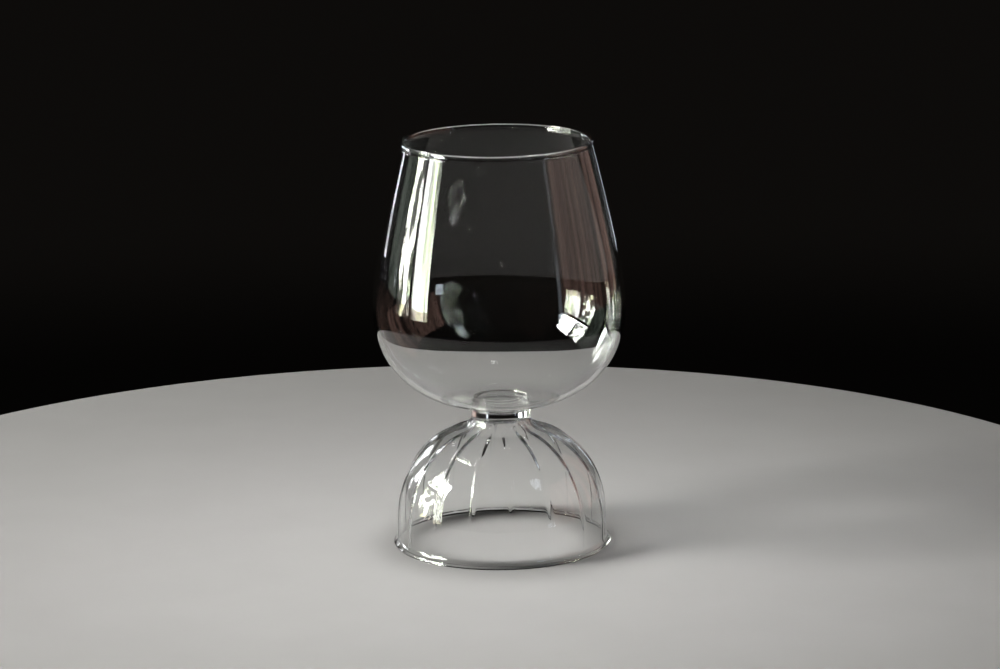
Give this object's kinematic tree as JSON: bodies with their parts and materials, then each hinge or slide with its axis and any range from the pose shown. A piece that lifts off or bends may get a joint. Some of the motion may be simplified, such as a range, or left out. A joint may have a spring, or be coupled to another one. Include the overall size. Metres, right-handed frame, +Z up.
{
  "type": "wine glass",
  "caption": "Clear drinking glass with a full round bowl, a short hollow neck, a collar disc and an open ribbed dome for a foot.",
  "frame": {"origin": "centre of the foot's rim, on the surface that the glass stands on", "axes": "+Z up along the axis of the glass; the ribs are turned a few degrees from -Y"},
  "size_m": [0.0922, 0.0922, 0.15],
  "materials": {
    "clear_glass": "clear, fire polished"
  },
  "bodies": {
    "root": {"bowl": "clear_glass", "neck_tube": "clear_glass", "collar_disc": "clear_glass", "ribbed_foot": "clear_glass"}
  },
  "joints": []
}
